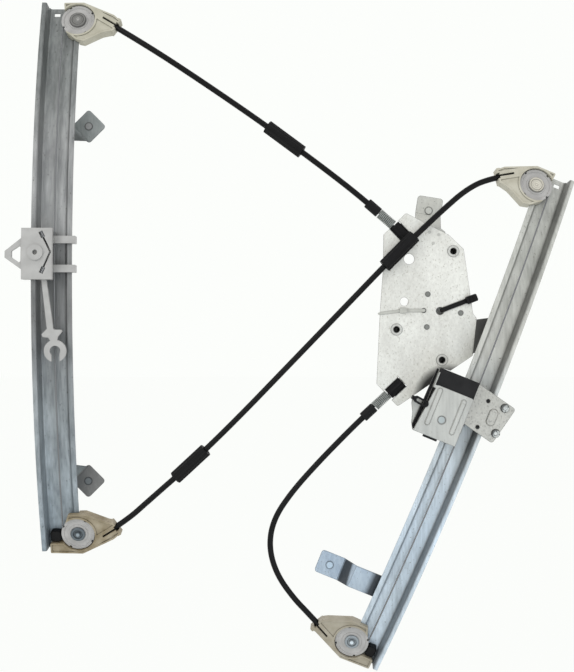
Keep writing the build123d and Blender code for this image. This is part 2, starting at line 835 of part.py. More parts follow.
def right_bracket():
    low = bracket_up - bracket_below
    high = bracket_up + bracket_above
    near_edge = bracket_across - tab_inner_half
    far_edge = bracket_across + tab_inner_half
    tab = polygon(
        right_flat(near_edge, low), right_flat(far_edge, low),
        right_flat(far_edge, high), right_flat(near_edge, high),
    )
    corners = tab.vertices()
    outer = sorted(corners, key=lambda corner: corner.X)[:2]
    shape = slab(fillet(outer, tab_corner), -bracket_sheet, 0)
    back = -sheet - wing_gap
    middle = bracket_up
    half = (bracket_above + bracket_below) / 2
    seat = right_seat(middle)
    foot = block((-bracket_foot, -half, back - bracket_sheet), (bracket_foot, half, back))
    shape += seat * foot
    far = edge_on(
        seat, (-bracket_foot + 0.4, -half), (-bracket_foot + 0.4, half), back, back - bracket_sheet
    )
    near = []
    for up, depth in ((low, -bracket_sheet), (high, -bracket_sheet), (high, 0), (low, 0)):
        x, z = right_flat(near_edge + 0.4, up)
        near.append((x, depth, z))
    return shape + slope(near, far) - stud_hole(right_flat(bracket_across, bracket_up))


def plate_tab():
    """Top fixing tab: flat at the inner panel, a slope, and a foot behind the motor plate."""
    plate_back = plate_front + plate_thickness + 0.05
    frame = Pos(*plate_tab_centre) * Rot(0, 0, plate_tab_turn)
    half = plate_tab_width / 2
    tab = frame * Pos(0, 4.0) * RectangleRounded(plate_tab_width, 20.0, tab_corner)
    shape = slab(tab, -bracket_sheet, 0)
    foot = frame * polygon(
        (-half, -18), (half, -18), (half + 5, -21), (half + 4, -30), (2, -37), (-half, -31)
    )
    shape += slab(foot, plate_back, plate_back + bracket_sheet)
    sides = [frame * Pos(across, up) for up in (-4.0, -18.4) for across in (-half, half)]
    depths = (-bracket_sheet, plate_back)
    edges = []
    for i in (0, 1):
        first = sides[2 * i].position
        second = sides[2 * i + 1].position
        front = depths[i]
        rear = front + bracket_sheet
        ends = [(first.X, front, first.Y), (second.X, front, second.Y)]
        edges.append(ends + [(second.X, rear, second.Y), (first.X, rear, first.Y)])
    return shape + slope(edges[0], edges[1]) - stud_hole(plate_tab_centre)


def fixing_studs():
    """Round-headed studs through the four fixing tabs, threads pointing into the car."""
    shapes = []
    for x, z in stud_places:
        shapes.append(
            slab(Pos(x, z) * Circle(stud_head_radius), -bracket_sheet - stud_head_height, -bracket_sheet)
        )
        shapes[-1] += slab(Pos(x, z) * Circle(stud_collar_radius), -bracket_sheet - 0.1, 0)
        shapes[-1] += slab(Pos(x, z) * Circle(stud_radius), -0.1, stud_length)
        shapes[-1] = chamfer(shapes[-1].edges().sort_by(Axis.Y)[-1], 0.6)
    return Compound(children=shapes)


def strap_on_plate(start, finish, width, thickness, lift):
    """A flat strap with round ends lying on the plate's front."""
    length = math.dist(start, finish)
    turn = math.degrees(math.atan2(finish[1] - start[1], finish[0] - start[0]))
    middle = ((start[0] + finish[0]) / 2, (start[1] + finish[1]) / 2)
    sketch = Pos(*middle) * Rot(0, 0, turn) * SlotOverall(length + width, width)
    return slab(sketch, plate_front - lift - thickness, plate_front - lift)


def black_tie():
    """Tie from the axis hole to its head over the plate's edge."""
    shape = strap_on_plate((2.0, 0.8), black_head, black_tie_width, 1.4, 0.02)
    turn = math.degrees(math.atan2(black_head[1], black_head[0]))
    head = Pos(*black_head) * Rot(0, 0, turn) * RectangleRounded(11.0, 7.4, 1.6)
    shape += slab(head, plate_front - 5.0, plate_front - 0.02)
    for along_head in (-2.4, 1.0):
        band = Pos(*black_head) * Rot(0, 0, turn) * Pos(along_head, 0) * Rectangle(1.0, 9.0)
        shape -= slab(band, plate_front - 6.0, plate_front - 4.2)
    shape += slab(Pos(2.2, 0.6) * Circle(1.7), plate_front - 1.0, plate_front + 3)
    return shape


def clear_tie():
    """Thin tie lying on the plate, threaded through its head and a hole."""
    shape = strap_on_plate((-61.0, -2.7), clear_head, 2.4, 1.0, 0.02)
    shape += strap_on_plate(clear_head, clear_holes[2][:2], 2.8, 1.3, 0.02)
    head = Pos(*clear_head) * Rot(0, 0, 4) * RectangleRounded(7.0, 5.0, 1.0)
    shape += slab(head, plate_front - 3.4, plate_front - 0.02)
    shape += slab(Pos(*clear_holes[2][:2]) * Circle(1.4), plate_front - 0.5, plate_front + plate_thickness)
    return shape


# ---------------------------------------------------------------- left carriage
def bore_up_at(place, radius, start, finish):
    return Pos(*place) * bore_up(radius, start, finish)


def toward_crossing(place):
    """Frame at a nipple's axis with X along its cable, Z out of the web."""
    turn = math.degrees(math.atan2(crossing[1] - place[1], crossing[0] - place[0]))
    return Pos(*place, nipple_height) * Rot(0, 0, turn)


low_box = (Align.CENTER, Align.CENTER, Align.CENTER)


def left_carriage():
    section = polygon(
        (body_outer, body_front), (body_inner, body_front), (body_inner, 14.6), (block_inner, 14.6),
        (block_inner, 0.6), (-27.9, 0.6), (-29.4, 2.6), (-30.3, 14.5), (-36.1, 14.5), (-36.1, 12.3),
        (-33.0, 12.3), (-33.0, 9.8), (body_outer, 9.8),
    )
    shape = arch(section, -body_half, body_half)
    for up in arm_ups:
        low = up - arm_width / 2
        high = up + arm_width / 2
        shape += block((block_inner - 1, low, arm_bottom), (2.2 + hook_thickness, high, arm_top))
        shape += block((2.2, low, 0.9), (2.2 + hook_thickness, high, arm_bottom + 1))
        shape += block((-1.5, low, 0.9), (3.0, high, 2.8))
    outer = rounded(
        polygon((-42.6, 15.4), (-43.4, 15.4), (-59.5, 2.6), (-59.5, -3.8), (-43.4, -15.3), (-42.6, -15.3)),
        0.3
    )
    inner = rounded(polygon((-44.1, 8.6), (-53.2, 2.6), (-53.2, -3.5), (-44.4, -9.5)), 1.6)
    shape += Pos(0, 0, 14.9) * extrude(outer - inner, loop_thickness)
    shape += bore_up_at(boss_place, boss_radius, body_front - 1, body_front + boss_rise)
    boss_floor = body_front + boss_rise - boss_bore_depth
    shape -= bore_up_at(boss_place, boss_bore, boss_floor, body_front + 10)
    for place in nipple_places:
        shape -= toward_crossing(place) * Box(
            nipple_length, 2 * nipple_radius + 2 * fixed_fit, 20.0, align=low_box
        )
        run = math.dist(place, crossing)
        channel = Box(run + 0.3, cable_channel, 30.0, align=(Align.MIN, Align.CENTER, Align.MIN))
        shape -= Pos(
            0, 0, crossing_height - nipple_height - cable_channel / 2
        ) * toward_crossing(place) * channel
    seat_low = (tail_top[0] - tail_half - 0.2, -body_half - 2, tail_bottom - 0.5)
    seat_high = (tail_top[0] + tail_half + 0.2, 3.1 - body_half, tail_bottom + tail_thickness + 0.3)
    return shape - block(seat_low, seat_high)


def carriage_cable_ends():
    """Two barrel nipples in their slots, with the cable ends running to the rail's cable."""
    shapes = []
    for place in nipple_places:
        half = nipple_length / 2 - fixed_fit
        barrel = toward_crossing(place) * Rot(0, 90, 0) * Cylinder(nipple_radius, 2 * half)
        start = Vector(*place, nipple_height)
        run = Vector(*crossing, crossing_height) - start
        shapes.append(barrel + rod(start, start + run * cable_end_share, cable_radius))
    return Compound(children=shapes)


def tail_clip():
    """Flat clip below the carriage: stem, star and an open ring."""
    stem = polygon(
        (tail_top[0] - tail_half, tail_top[1] + 3.0), (tail_top[0] + tail_half, tail_top[1] + 3.0),
        (
            tail_top[0] + tail_half, tail_top[1]
        ), (-15.2, -68.0), (-15.2, -74.0), (-20.5, -74.0), (-21.3, -68.0),
        (tail_top[0] - tail_half, tail_top[1]),
    )
    star = polygon(
        (-21.0, -71.0), (-15.6, -70.0), (-13.8, -71.9), (-7.4, -72.0), (-6.2, -73.6), (-10.6, -78.8),
        (-11.2, -82.6),
        (-18.0, -82.6), (-19.6, -79.6), (-25.2, -79.0), (-26.2, -76.4),
    )
    ring = Pos(*ring_centre) * (Circle(clip_outer) - Circle(clip_inner))
    ring -= Pos(
        ring_centre[0] + 0.4, ring_centre[1] - clip_outer
    ) * Rectangle(ring_mouth, 2 * clip_outer - 4)
    flat = extrude(stem + fillet(star.vertices(), 0.8) + ring, tail_thickness)
    back = along(-tail_middle)
    return back * Pos(0, tail_middle, tail_bottom - 0.55) * flat


# ---------------------------------------------------------------- right carriage
def carrier_plate():
    low = carrier_back
    outline = polygon(
        (31.6, -25.0), (27.5, 40.0), (-11.3, 39.6), (-54.3, 29.8), (-45.5, -9.1), (-13.3, -1.7),
        (-12.0, -25.0),
    )
    outline = fillet(outline.vertices().sort_by(Axis.X)[:2] + outline.vertices().sort_by(Axis.X)[-2:], 3.0)
    for across, up in rivet_places:
        outline -= Pos(across, up) * Circle(2.0 + fixed_fit)
    for across, up in carrier_holes:
        outline -= Pos(across, up) * Circle(carrier_hole)
    shape = Pos(0, 0, low) * extrude(outline, carrier_sheet)
    pad = Pos(*pad_place, low + carrier_sheet - 0.1) * extrude(
        SlotOverall(16.5, 8.3, rotation=90), 0.1 + rib_height
    )
    pad = chamfer(pad.faces().sort_by(Axis.Z)[-1].edges(), 0.5)
    return shape + pad


def carriage_rivets():
    low = carrier_back - 1.8
    shapes = []
    for across, up in rivet_places:
        shank = Pos(across, up, low) * Cylinder(2.0, 3.4, align=(Align.CENTER, Align.CENTER, Align.MIN))
        head = Pos(across, up, carrier_back + carrier_sheet + 0.02) * Cylinder(
            4.2, 1.5, align=(Align.CENTER, Align.CENTER, Align.MIN)
        )
        head = fillet(head.edges().sort_by(Axis.Z)[-1], 1.0)
        shapes.append(shank + head)
    return Compound(children=shapes)


def glass_liner():
    """Moulded channel that takes the bottom edge of the window glass."""
    low = carrier_back + carrier_sheet
    high = low + glass_slot + 2 * liner_wall
    shape = block((jaw_outer, liner_low, low), (liner_inner, liner_top, high))
    shape -= block(
        (jaw_outer - 1, slot_floor, low + liner_wall), (liner_inner + 1, liner_top + 1, high - liner_wall)
    )
    return shape


def front_jaw():
    """Pressed sheet clamping the front of the glass, with two ribs and a dimple."""
    back = carrier_back + carrier_sheet + glass_slot + 2 * liner_wall
    outline = polygon(
        (jaw_outer, -jaw_half - 1.5), (
            jaw_inner_low, -jaw_half - 1.5
        ), (jaw_inner_high, jaw_half), (jaw_outer, jaw_half)
    )
    outline = fillet(outline.vertices().sort_by(Axis.Y)[-2:], 2.0)
    shape = Pos(0, 0, back) * extrude(outline, jaw_sheet)
    fold_low = carrier_back + carrier_sheet
    shape += block((jaw_outer, -jaw_half - 1.5, fold_low), (jaw_inner_low - 0.4, -jaw_half, back + 1))
    for across, low, high in ((21.7, -16.0, 22.0), (-3.4, -16.0, 20.0)):
        rib = SlotOverall(high - low, 2 * rib_half_width, rotation=90)
        shape += Pos(
            across, (low + high) / 2, back + jaw_sheet - 0.1
        ) * extrude(rib, 0.1 + rib_height, taper=30)
    dimple = bore_up_at(dimple_place, dimple_radius, back + jaw_sheet - dimple_depth, back + 5)
    shape -= chamfer(dimple.edges().sort_by(Axis.Z)[0], dimple_depth - 0.1)
    cheek_low = jaw_half - 3.5
    shape += block((jaw_inner_high - 1.5, cheek_low, back), (cheek_outer, jaw_half - 0.5, back + jaw_sheet))
    shape += block(
        (liner_inner + 0.1, cheek_low, fold_low + 0.3), (cheek_outer, cheek_top, back + jaw_sheet)
    )
    leaf = polygon(
        (
            jaw_inner_low - 0.4, -jaw_half - 1.5
        ), (34.4, -18.9), (37.0, -9.6), (41.0, -2.0), (42.8, 5.0), (31.5, 5.6),
        (liner_inner + 0.3, 4.0), (liner_inner + 0.3, -jaw_half - 1.5),
    )
    return shape + Pos(0, 0, fold_low) * extrude(leaf, jaw_sheet)


def slide_shoe():
    """Moulded shoe behind the carrier plate: block, cable holder and the hooks on both edges."""
    top = carrier_back + 1
    block_section = polygon(
        (-26.6, 0.6), (-17.5, 0.6), (-17.5, 6.2), (-13.0, 6.2), (-13.0, top), (-26.6, top)
    )
    shape = arch(block_section, holder_low, holder_high)
    bridge = polygon(
        (-46.0, top), (-20.0, top), (-20.0, 14.5), (-34.6, 14.5), (-34.6, 12.3), (-31.2, 12.3),
        (-31.2, 9.8), (-46.0, 9.8)
    )
    shape += arch(bridge, holder_low + 2.0, holder_high - 5.0)
    hook = polygon(
        (-16.0, 6.2), (0.0, 6.2), (0.0, 2.8), (-3.4, 2.8), (-3.4, 0.9), (3.0, 0.9), (3.0, 9.0),
        (-16.0, 9.0)
    )
    shape += arch(hook, holder_low, 14.0)
    shape += block((-16.0, 4.0, 11.5), (-6.0, 9.0, carrier_back))
    shape += block((-10.0, -22.0, 11.5), (-6.0, 9.0, carrier_back))
    shape += block((-10.0, -24.8, 11.5), (18.5, -20.0, carrier_back))
    shape += block((4.6, -27.6, 11.5), (18.5, -24.0, carrier_back))
    shape &= block((-60, -40, 0), (20, 40, carrier_back - 0.05))
    for across, up in rivet_places:
        shape -= bore_up_at((across, up), 2.0 + fixed_fit, carrier_back - 2.0, carrier_back + 2.0)
    for up in holder_nipples:
        way = 1 if up > holder_middle else -1
        shape -= Pos(holder_across, up + way * 5.0, holder_cable) * Rot(90, 0, 0) * Cylinder(1.9, 15.0)
    return shape


def right_cable_ends():
    shapes = []
    for up in holder_nipples:
        way = 1 if up > holder_middle else -1
        nipple = Pos(holder_across, up, holder_cable) * Rot(90, 0, 0) * Cylinder(1.8, 5.0)
        end = (holder_across, up + way * 13.0, holder_cable)
        shapes.append(nipple + rod((holder_across, up, holder_cable), end, cable_radius))
    return Compound(children=shapes)


def jaw_clip():
    """Moulded strip along the jaw's inner side, with a slotted loop that hooks over its edge."""
    low = carrier_back + carrier_sheet + jaw_sheet
    edge = polygon(
        (30.9, -23.4), (33.2, -21.5), (32.2, 2.0), (31.6, 24.0), (31.0, 38.0), (29.3, 38.0), (29.3, 0.0)
    )
    shape = Pos(0, 0, low) * extrude(edge, 3.0)
    front = carrier_back + carrier_sheet + glass_slot + 2 * liner_wall + jaw_sheet + 0.02
    loop = SlotOverall(15.6, 6.6) - SlotOverall(9.4, 2.6)
    shape += Pos(34.8, 2.9, front) * Rot(0, 0, 7.4) * extrude(loop, 1.6)
    shape += block((30.2, 1.0, low), (32.0, 4.6, front + 0.5))
    return shape + block((41.0, 1.8, low), (43.4, 5.6, front + 0.8))


# ---------------------------------------------------------------- build: rails and ends
write("left_rail", on_left(rail(left_outer_edge, left_inner_edge, left_pulley_reach)))
write("right_rail", on_right(rail(right_outer_edge, right_inner_edge, right_pulley_reach)))

left_arm = left_outer_edge + outer_lip + wall_slope + bend_radius + 0.3
right_arm = right_outer_edge + outer_lip + wall_slope + bend_radius + 0.3
ends = (
    ("left_upper", "left", left_pulley_reach, True, socket_turn, None),
    ("left_lower", "left", left_pulley_reach, False, socket_turn, left_arm),
    ("right_upper", "right", right_pulley_reach, True, socket_turn, None),
    ("right_lower", "right", right_pulley_reach, False, low_right_socket_turn, right_arm),
)
rivet_heads = {
    "left_upper": (8.4, False),
    "left_lower": (7.5, True),
    "right_upper": (8.0, False),
    "right_lower": (7.3, True),
}
for name, side, reach, top, turn, arm in ends:
    edge = left_inner_edge if side == "left" else right_inner_edge
    write(name + "_housing", place_on(side, rail_end(pulley_housing(turn, arm, edge), reach, top)))
    write(name + "_pulley", place_on(side, rail_end(pulley(), reach, top)))
    write(name + "_rivet", place_on(side, rail_end(pulley_rivet(*rivet_heads[name]), reach, top)))
    if arm is not None:
        write(side + "_bumper", place_on(side, rail_end(bumper(arm), reach, top)))

write("left_rail_cable", on_left(rail_cable(left_pulley_reach, socket_turn, socket_turn)))
write("right_rail_cable", on_right(rail_cable(right_pulley_reach, socket_turn, low_right_socket_turn)))

write("motor_plate", motor_plate())
write("drum_bearing", drum_bearing())
write("bearing_rivets", bearing_rivets())
write("cable_drum", cable_drum())
write("drum_winding", drum_winding())
write("drum_housing", drum_housing())
write("motor_bushes", motor_bushes())
for name, side in (("upper", upper_chain), ("lower", lower_chain)):
    write(name + "_cap", cap(side))
    write(name + "_spring", take_up_spring(side))
    write(name + "_ferrule", ferrule(side))
    write(name + "_bare_cable", bare_cable(side))

def chain_end(side):
    """Where a conduit's end sits in its ferrule, and which way the ferrule points."""
    seat = side(cap_end + spring_length + ferrule_length - ferrule_seat)
    return seat.origin, seat.z_dir


upper_seat, upper_heading = chain_end(upper_chain)
lower_seat, lower_heading = chain_end(lower_chain)

upper_route = [
    outlet("left", left_pulley_reach, True, socket_turn, 0),
    outlet("left", left_pulley_reach, True, socket_turn, 52),
    (-234.8, -9, 229.3),
    (-174.2, -10, 187.4),
    (-117.7, -11.5, 145.4),
    upper_seat + upper_heading * 18,
    upper_seat,
]
cross_route = [
    outlet("left", left_pulley_reach, False, socket_turn, 0),
    outlet("left", left_pulley_reach, False, socket_turn, 28),
    (-291.2, -10, -190.0),
    (-250.4, -14, -154.1),
    (-204.0, -18, -109.0),
    (-150.0, -22, -52.9),
    (-96.4, -25, 2.8),
    (-48.9, -25.8, 52.3),
    (-21.2, -25.8, 78.6),
    (-1.0, -24, 97.7),
    (26.4, -16, 121.8),
    outlet("right", right_pulley_reach, True, socket_turn, 26),
    outlet("right", right_pulley_reach, True, socket_turn, 0),
]
lower_route = [
    lower_seat,
    lower_seat + lower_heading * 18,
    (-122.8, -12.5, -153.3),
    (-149.5, -13, -183.4),
    (-166.6, -13.2, -209.5),
    (-171.3, -13, -236.2),
    (-164.1, -12, -263.6),
    (-147.0, -11, -288.5),
    outlet("right", right_pulley_reach, False, low_right_socket_turn, 26),
    outlet("right", right_pulley_reach, False, low_right_socket_turn, 0),
]
for name, route in (("upper", upper_route), ("cross", cross_route), ("lower", lower_route)):
    print(name, [tuple(round(value, 1) for value in Vector(*point)) for point in route])
    write(name + "_conduit", tube(route, conduit_radius))
sleeves = (
    ("upper", upper_route[3], (-155.4, -10.3, 173.3), upper_route[4], 43.5),
    ("cross", cross_route[2], (-249.9, -14, -153.4), cross_route[4], 42.0),
    ("plate", cross_route[6], (-41.5, -25.8, 59.2), cross_route[8], 42.0),
)
for name, before, centre, after, length in sleeves:
    write(name + "_sleeve", ridged_sleeve(before, centre, after, length))

write("left_upper_tab", left_bracket(upper_tab_centre, True))
write("left_lower_tab", left_bracket(lower_tab_centre, False))
write("right_lower_bracket", right_bracket())
write("plate_top_tab", plate_tab())
stud_places = (upper_tab_centre, lower_tab_centre, plate_tab_centre, right_flat(bracket_across, bracket_up))
write("mounting_studs", fixing_studs())
write("black_tie", black_tie())
write("clear_tie", clear_tie())

carriage_seat = along(left_carriage_up)
write("left_carriage", on_left(carriage_seat * left_carriage()))
write("left_cable_ends", on_left(carriage_seat * carriage_cable_ends()))
write("carriage_tail_clip", on_left(carriage_seat * tail_clip()))
write("carrier_plate", on_right(carrier_plate()))
write("carriage_rivets", on_right(carriage_rivets()))
write("glass_channel_liner", on_right(glass_liner()))
write("front_jaw", on_right(front_jaw()))
write("slide_shoe", on_right(slide_shoe()))
write("right_cable_ends", on_right(right_cable_ends()))
write("jaw_clip", on_right(jaw_clip()))
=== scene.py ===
import math

import bpy
import numpy as np
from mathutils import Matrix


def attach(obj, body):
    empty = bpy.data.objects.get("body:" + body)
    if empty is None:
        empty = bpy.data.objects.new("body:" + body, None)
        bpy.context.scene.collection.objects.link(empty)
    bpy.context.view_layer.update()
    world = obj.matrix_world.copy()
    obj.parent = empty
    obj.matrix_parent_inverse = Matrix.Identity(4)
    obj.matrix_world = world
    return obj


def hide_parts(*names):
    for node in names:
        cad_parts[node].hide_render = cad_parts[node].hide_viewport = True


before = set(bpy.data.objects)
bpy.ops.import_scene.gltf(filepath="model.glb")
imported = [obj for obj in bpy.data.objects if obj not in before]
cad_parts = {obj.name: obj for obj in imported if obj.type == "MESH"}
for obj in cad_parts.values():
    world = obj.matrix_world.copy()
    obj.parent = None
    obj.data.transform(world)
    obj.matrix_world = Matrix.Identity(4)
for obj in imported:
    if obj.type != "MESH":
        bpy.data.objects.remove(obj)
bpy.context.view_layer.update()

scene = bpy.context.scene
scene.view_settings.view_transform = "Standard"

# ---- The studio
# The regulator hangs upright in an even white room, under one soft key lamp from above
# left, a weak fill from the right and a cool lamp from below.
sensor_width = 36.0
plate_distance = 900.0      # millimetres from the camera to the motor plate's front
frame_height = 672.0        # millimetres that the frame holds at that distance
backdrop_white = (0.975, 0.99, 0.968, 1)
floor_height = -0.7

camera = bpy.data.objects.new("camera", bpy.data.cameras.new("camera"))
camera.data.sensor_width = sensor_width
camera.data.lens = sensor_width * plate_distance / frame_height
camera.data.clip_start = 0.05
camera.data.clip_end = 60.0
camera.location = (-0.153, -0.918, -0.025)
camera.rotation_euler = (math.radians(90), 0, 0)
scene.collection.objects.link(camera)
scene.camera = camera

for name, place, turn, size, power, colour in (
    ("key", (-1.5, -1.6, 0.9), (math.radians(66), 0, math.radians(-43)), 0.9, 8.0, (1.0, 1.0, 0.98)),
    ("fill", (1.5, -1.4, -0.3), (math.radians(95), 0, math.radians(48)), 1.2, 3.0, (1.0, 1.0, 1.0)),
    ("low", (0.15, -1.0, -0.62), (math.radians(106), 0, math.radians(11)), 0.5, 1.5, (0.62, 0.8, 1.0)),
):
    lamp = bpy.data.objects.new(name, bpy.data.lights.new(name, "AREA"))
    lamp.data.energy = power
    lamp.data.color = colour
    lamp.data.size = size
    lamp.location = place
    lamp.rotation_euler = turn
    scene.collection.objects.link(lamp)

room = bpy.data.worlds.new("room")
scene.world = room
room.use_nodes = True
nodes = room.node_tree.nodes
links = room.node_tree.links
nodes.clear()
seen = nodes.new("ShaderNodeBackground")
seen.inputs["Color"].default_value = backdrop_white
seen.inputs["Strength"].default_value = 1.0
lit = nodes.new("ShaderNodeBackground")
lit.inputs["Color"].default_value = (0.985, 0.98, 0.975, 1)
lit.inputs["Strength"].default_value = 0.97
rays = nodes.new("ShaderNodeLightPath")
mix = nodes.new("ShaderNodeMixShader")
out = nodes.new("ShaderNodeOutputWorld")
links.new(rays.outputs["Is Camera Ray"], mix.inputs["Fac"])
links.new(lit.outputs[0], mix.inputs[1])
links.new(seen.outputs[0], mix.inputs[2])
links.new(mix.outputs[0], out.inputs["Surface"])

floor_mesh = bpy.data.meshes.new("studio_floor")
floor_corners = [(x, y, floor_height) for x, y in ((-9, -6), (9, -6), (9, 14), (-9, 14))]
floor_mesh.from_pydata(floor_corners, [], [(0, 1, 2, 3)])
floor = bpy.data.objects.new("studio_floor", floor_mesh)
scene.collection.objects.link(floor)
pale = bpy.data.materials.new("pale_floor")
pale.use_nodes = True
nodes = pale.node_tree.nodes
links = pale.node_tree.links
nodes.clear()
matt = nodes.new("ShaderNodeBsdfDiffuse")
matt.inputs["Color"].default_value = (0.8, 0.81, 0.8, 1)
glow = nodes.new("ShaderNodeEmission")
glow.inputs["Color"].default_value = backdrop_white
rays = nodes.new("ShaderNodeLightPath")
share = nodes.new("ShaderNodeMath")
share.operation = "MULTIPLY"
share.inputs[1].default_value = 0.96
mix = nodes.new("ShaderNodeMixShader")
out = nodes.new("ShaderNodeOutputMaterial")
either = nodes.new("ShaderNodeMath")
either.operation = "MAXIMUM"
links.new(rays.outputs["Is Camera Ray"], either.inputs[0])
links.new(rays.outputs["Is Glossy Ray"], either.inputs[1])
links.new(either.outputs[0], share.inputs[0])
links.new(share.outputs[0], mix.inputs["Fac"])
links.new(matt.outputs[0], mix.inputs[1])
links.new(glow.outputs[0], mix.inputs[2])
links.new(mix.outputs[0], out.inputs["Surface"])
floor_mesh.materials.append(pale)


# ---- The two rails
# Cold-rolled galvanised strip, folded to a channel and stretched into an arch, so the
# zinc shows fine streaks along the rail and small scuffs, under painted shade and light.
def linear(red, green, blue):
    """A display colour from 0 to 255 turned into the linear light a shader takes."""
    shade = np.array([red, green, blue]) / 255.0
    light = np.where(shade <= 0.04045, shade / 12.92, ((shade + 0.055) / 1.055) ** 2.4)
    return (*[float(v) for v in light], 1.0)


def new_finish(name):
    """An empty surface material: its node tree, its Principled shader and its object coordinates."""
    finish = bpy.data.materials.new(name)
    finish.use_nodes = True
    tree = finish.node_tree
    shader = tree.nodes["Principled BSDF"]
    place = tree.nodes.new("ShaderNodeTexCoord").outputs["Object"]
    return finish, tree, shader, place


def speckle(tree, place, stretch, scale, detail=3.0, turn=(0, 0, 0)):
    """Noise over the object's coordinates, stretched by a factor along each axis after a turn."""
    mapping = tree.nodes.new("ShaderNodeMapping")
    mapping.inputs["Scale"].default_value = stretch
    mapping.inputs["Rotation"].default_value = turn
    tree.links.new(place, mapping.inputs["Vector"])
    noise = tree.nodes.new("ShaderNodeTexNoise")
    noise.inputs["Scale"].default_value = scale
    noise.inputs["Detail"].default_value = detail
    tree.links.new(mapping.outputs["Vector"], noise.inputs["Vector"])
    return noise.outputs["Fac"]


def shade(tree, factor, stops):
    """A colour ramp over a factor, from (position, colour) stops."""
    ramp = tree.nodes.new("ShaderNodeValToRGB")
    tree.links.new(factor, ramp.inputs["Fac"])
    while len(ramp.color_ramp.elements) < len(stops):
        ramp.color_ramp.elements.new(0.5)
    for element, (position, colour) in zip(ramp.color_ramp.elements, stops):
        element.position = position
        element.color = colour
    return ramp.outputs["Color"]


def blended(tree, factor, first, second, kind="MIX"):
    """Two colours mixed by a factor, either of them a socket or a plain colour."""
    mix = tree.nodes.new("ShaderNodeMix")
    mix.data_type = "RGBA"
    mix.blend_type = kind
    for socket, value in ((mix.inputs[0], factor), (mix.inputs[6], first), (mix.inputs[7], second)):
        if hasattr(value, "links"):
            tree.links.new(value, socket)
        else:
            socket.default_value = value
    return mix.outputs[2]


def coloured(tree, shader, factor, low, high):
    """The shader's colour between two (position, colour) stops, by a factor."""
    tree.links.new(shade(tree, factor, [low, high]), shader.inputs["Base Color"])


def grained(tree, shader, height, strength, distance):
    """A bump on the shader's normal from a height."""
    bump = tree.nodes.new("ShaderNodeBump")
    bump.inputs["Strength"].default_value = strength
    bump.inputs["Distance"].default_value = distance
    tree.links.new(height, bump.inputs["Height"])
    tree.links.new(bump.outputs["Normal"], shader.inputs["Normal"])


def roughened(tree, shader, factor, low, high):
    """The shader's roughness between two values, by a factor."""
    spread = tree.nodes.new("ShaderNodeMapRange")
    spread.inputs["To Min"].default_value = low
    spread.inputs["To Max"].default_value = high
    tree.links.new(factor, spread.inputs["Value"])
    tree.links.new(spread.outputs["Result"], shader.inputs["Roughness"])


def along_line(tree, place, direction, start, length):
    """How far a point lies along a direction, from 0 at the start to 1 after the length."""
    reach = tree.nodes.new("ShaderNodeVectorMath")
    reach.operation = "DOT_PRODUCT"
    reach.inputs[1].default_value = direction
    tree.links.new(place, reach.inputs[0])
    spread = tree.nodes.new("ShaderNodeMapRange")
    spread.inputs["From Min"].default_value = start
    spread.inputs["From Max"].default_value = start + length
    tree.links.new(reach.outputs["Value"], spread.inputs["Value"])
    return spread.outputs["Result"]


def grey(level):
    """A plain grey, or a colour as it is."""
    return (*level, 1.0) if isinstance(level, tuple) else (level, level, level, 1.0)


def veiled(finish, veil):
    """Multiply a finish's colour by a veil."""
    tree = finish.node_tree
    shader = tree.nodes["Principled BSDF"]
    ground = shader.inputs["Base Color"].links[0].from_socket
    tree.links.new(blended(tree, 1.0, ground, veil, "MULTIPLY"), shader.inputs["Base Color"])
    return finish


def shaded_along(finish, direction, stops, front_only=False):
    """Paint light and shade on a finish by (distance, level) stops along a direction; with
    front_only, only where the surface looks to the front, by its normal's share along it."""
    tree = finish.node_tree
    place = tree.nodes["Texture Coordinate"].outputs["Object"]
    start = stops[0][0]
    length = stops[-1][0] - start
    reach = along_line(tree, place, direction, start, length)
    veil = shade(tree, reach, [((stop - start) / length, grey(level)) for stop, level in stops])
    if front_only:
        normal = tree.nodes.new("ShaderNodeNewGeometry").outputs["Normal"]
        veil = blended(tree, along_line(tree, normal, (0, -1, 0), 0.0, 0.1), grey(1.0), veil)
    return veiled(finish, veil)


def ringed(finish, middle, stops):
    """Rings of (radius, level) on a finish about a middle in X and Z, clear past the last radius."""
    tree = finish.node_tree
    place = tree.nodes["Texture Coordinate"].outputs["Object"]
    flat = tree.nodes.new("ShaderNodeVectorMath")
    flat.operation = "MULTIPLY"
    flat.inputs[1].default_value = (1, 0, 1)
    tree.links.new(place, flat.inputs[0])
    gap = tree.nodes.new("ShaderNodeVectorMath")
    gap.operation = "DISTANCE"
    gap.inputs[1].default_value = (middle[0], 0, middle[1])
    tree.links.new(flat.outputs["Vector"], gap.inputs[0])
    widest = stops[-1][0]
    spread = tree.nodes.new("ShaderNodeMapRange")
    spread.inputs["From Max"].default_value = widest
    tree.links.new(gap.outputs["Value"], spread.inputs["Value"])
    shares = [(radius / widest, grey(level)) for radius, level in stops]
    return veiled(finish, shade(tree, spread.outputs["Result"], shares))


def corner_shaded(finish, reach, depth):
    """Painted shade: darken a finish in its inner corners, within a reach of them."""
    tree = finish.node_tree
    corner = tree.nodes.new("ShaderNodeAmbientOcclusion")
    corner.samples = 8
    corner.inputs["Distance"].default_value = reach
    return veiled(finish, shade(tree, corner.outputs["AO"], [(0.4, grey(depth)), (0.88, grey(1.0))]))


